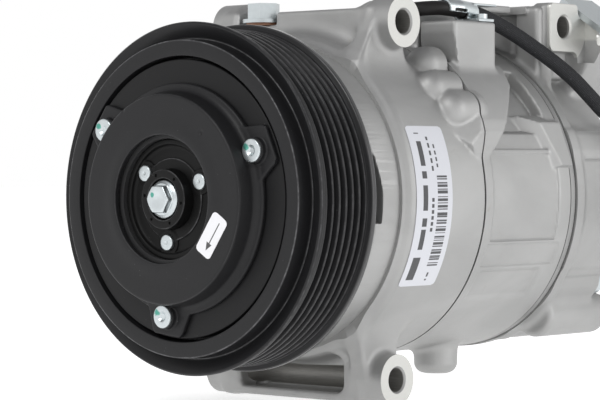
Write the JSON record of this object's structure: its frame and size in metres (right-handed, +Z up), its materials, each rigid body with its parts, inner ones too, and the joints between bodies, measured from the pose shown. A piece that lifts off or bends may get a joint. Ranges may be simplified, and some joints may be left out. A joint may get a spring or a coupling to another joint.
{
  "type": "automotive air conditioning compressor",
  "caption": "Belt-driven swash-plate refrigerant compressor with a magnetic clutch, cast body, through-bolt ears and a clipped coil lead.",
  "frame": {"origin": "on the shaft axis, in the middle plane of the belt grooves", "axes": "+Y along the shaft from the clutch to the rear head, +Z up towards the two upper ears, +X towards the side with the lead"},
  "size_m": [0.1382, 0.2281, 0.1546],
  "materials": {
    "cast_aluminium": "fine blasted die casting, machined ear faces",
    "black_paint": "satin black clutch paint",
    "zinc_plated": "bright zinc plating",
    "bare_steel": "ground and oiled steel",
    "bearing_steel": "polished bearing steel",
    "cage_polymer": "natural bearing cage polymer",
    "black_rubber": "bonded damper rubber",
    "gasket": "coated sheet gasket",
    "winding": "potted copper winding",
    "lead_sheath": "black braided sheath over two wires",
    "connector_plastic": "black moulded plastic",
    "label_film": "printed white film",
    "washer_red": "coloured sealing washer"
  },
  "bodies": {
    "housing": {"front_housing": "cast_aluminium", "cylinder_block": "cast_aluminium", "rear_head": "cast_aluminium", "crankcase_gasket": "gasket", "suction_reed_sheet": "bare_steel", "valve_plate": "bare_steel", "discharge_reed_sheet": "bare_steel", "reed_retainer": "bare_steel", "head_gasket": "gasket", "through_bolts": "zinc_plated", "pistons": "cast_aluminium", "piston_shoes": "bearing_steel", "thrust_bearing": "bearing_steel", "front_needle_bearing": "bearing_steel", "rear_needle_bearing": "bearing_steel", "shaft_seal": "black_rubber", "seal_snap_ring": "bare_steel", "control_valve": "zinc_plated", "relief_valve": "zinc_plated", "coil_cup": "black_paint", "coil_winding": "winding", "coil_snap_ring": "bare_steel", "bearing_inner_race": "bearing_steel", "bearing_snap_ring": "bare_steel", "rating_label": "label_film", "oil_plug": "zinc_plated", "oil_plug_washer": "washer_red", "port_cover": "zinc_plated", "port_cover_bolt": "zinc_plated", "clutch_lead": "lead_sheath", "lead_gland": "connector_plastic", "lead_clip": "zinc_plated", "clip_screw": "zinc_plated", "lead_connector": "connector_plastic", "connector_bracket": "zinc_plated", "bracket_screw": "zinc_plated"},
    "pulley": {"pulley": "black_paint", "bearing_outer_race": "bearing_steel"},
    "ball_set": {"bearing_balls": "bearing_steel", "ball_cage": "cage_polymer"},
    "shaft": {"drive_shaft": "bare_steel", "lug_plate": "bare_steel", "hinge_pin": "bearing_steel", "swash_plate": "bare_steel", "return_spring": "bare_steel", "hub": "black_paint", "adjusting_shim": "bare_steel", "inner_plate": "black_paint", "hub_rivets": "zinc_plated", "damper_rubber": "black_rubber", "centre_bolt": "zinc_plated"},
    "armature": {"damper_cover": "black_paint", "armature_plate": "black_paint", "armature_rivets": "zinc_plated", "turn_arrow_label": "label_film"}
  },
  "joints": [
    {"name": "pulley_spin", "type": "hinge", "parent": "housing", "child": "pulley", "pos_m": [0, 0, 0], "axis": [0, 1, 0], "continuous": true},
    {"name": "ball_set_spin", "type": "hinge", "parent": "housing", "child": "ball_set", "pos_m": [0, 0, 0], "axis": [0, 1, 0], "continuous": true},
    {"name": "shaft_spin", "type": "hinge", "parent": "housing", "child": "shaft", "pos_m": [0, 0, 0], "axis": [0, 1, 0], "continuous": true},
    {"name": "armature_pull", "type": "slide", "parent": "shaft", "child": "armature", "axis": [0, 1, 0], "range_m": [0, 0.00035], "stiffness_N_per_m": 20000}
  ],
  "couplings": [
    {"joint": "ball_set_spin", "follows": "pulley_spin", "ratio": 0.572}
  ]
}
